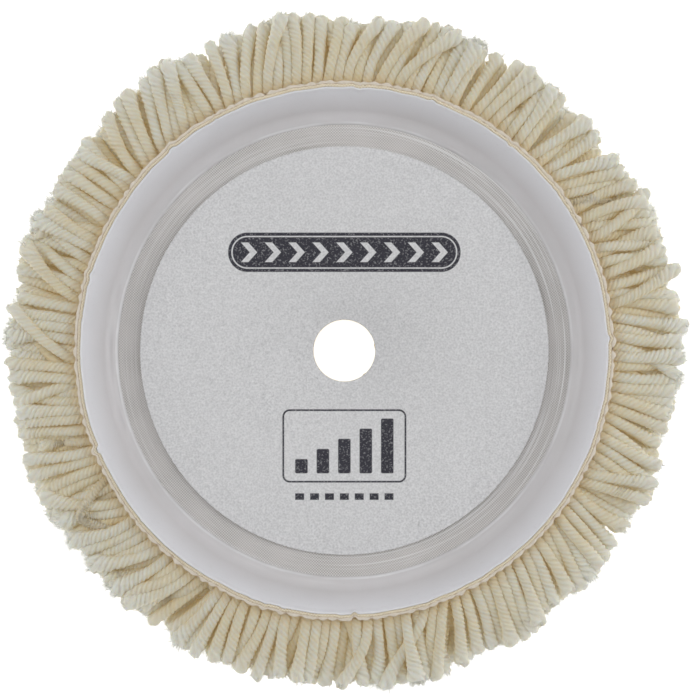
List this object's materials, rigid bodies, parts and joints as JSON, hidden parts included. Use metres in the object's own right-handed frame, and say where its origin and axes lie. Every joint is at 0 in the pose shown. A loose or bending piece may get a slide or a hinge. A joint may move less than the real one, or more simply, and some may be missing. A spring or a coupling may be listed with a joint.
{
  "type": "polishing pad",
  "caption": "Round twisted-wool polishing pad with a recessed back, a loop-fabric disc on its floor and a centring hole.",
  "frame": {"origin": "on the pad's axis, at the tips of the wool working face", "axes": "+Z along the pad's axis, from the working face towards the loop-fabric back"},
  "size_m": [0.2286, 0.2286, 0.0438],
  "materials": {
    "loop_fabric": "matte brushed loop knit, pale grey, with plain dark printed marks",
    "glue_film": "thin amber hot-melt film",
    "wall_liner": "glossy moulded film, milky white",
    "coated_cloth": "fine plain weave under a clear glossy coat",
    "latex": "matte foamed latex",
    "tufting_cloth": "matte tan plain weave",
    "edge_bead": "satin off-white latex bead, uneven",
    "wool": "cream twisted wool yarn, matte and slightly fuzzy"
  },
  "bodies": {
    "root": {"loop_disc": "loop_fabric", "loop_glue_film": "glue_film", "wall_liner": "wall_liner", "dish_floor": "coated_cloth", "dish_wall": "coated_cloth", "latex_coat": "latex", "tufting_cloth": "tufting_cloth", "edge_bead": "edge_bead", "pile_row_01": "wool", "pile_row_02": "wool", "pile_row_03": "wool", "pile_row_04": "wool", "pile_row_05": "wool", "pile_row_06": "wool", "pile_row_07": "wool", "pile_row_08": "wool", "pile_row_09": "wool", "pile_row_10": "wool", "pile_row_11": "wool", "pile_row_12": "wool", "pile_row_13": "wool", "pile_row_14": "wool", "pile_row_15": "wool"}
  },
  "joints": []
}
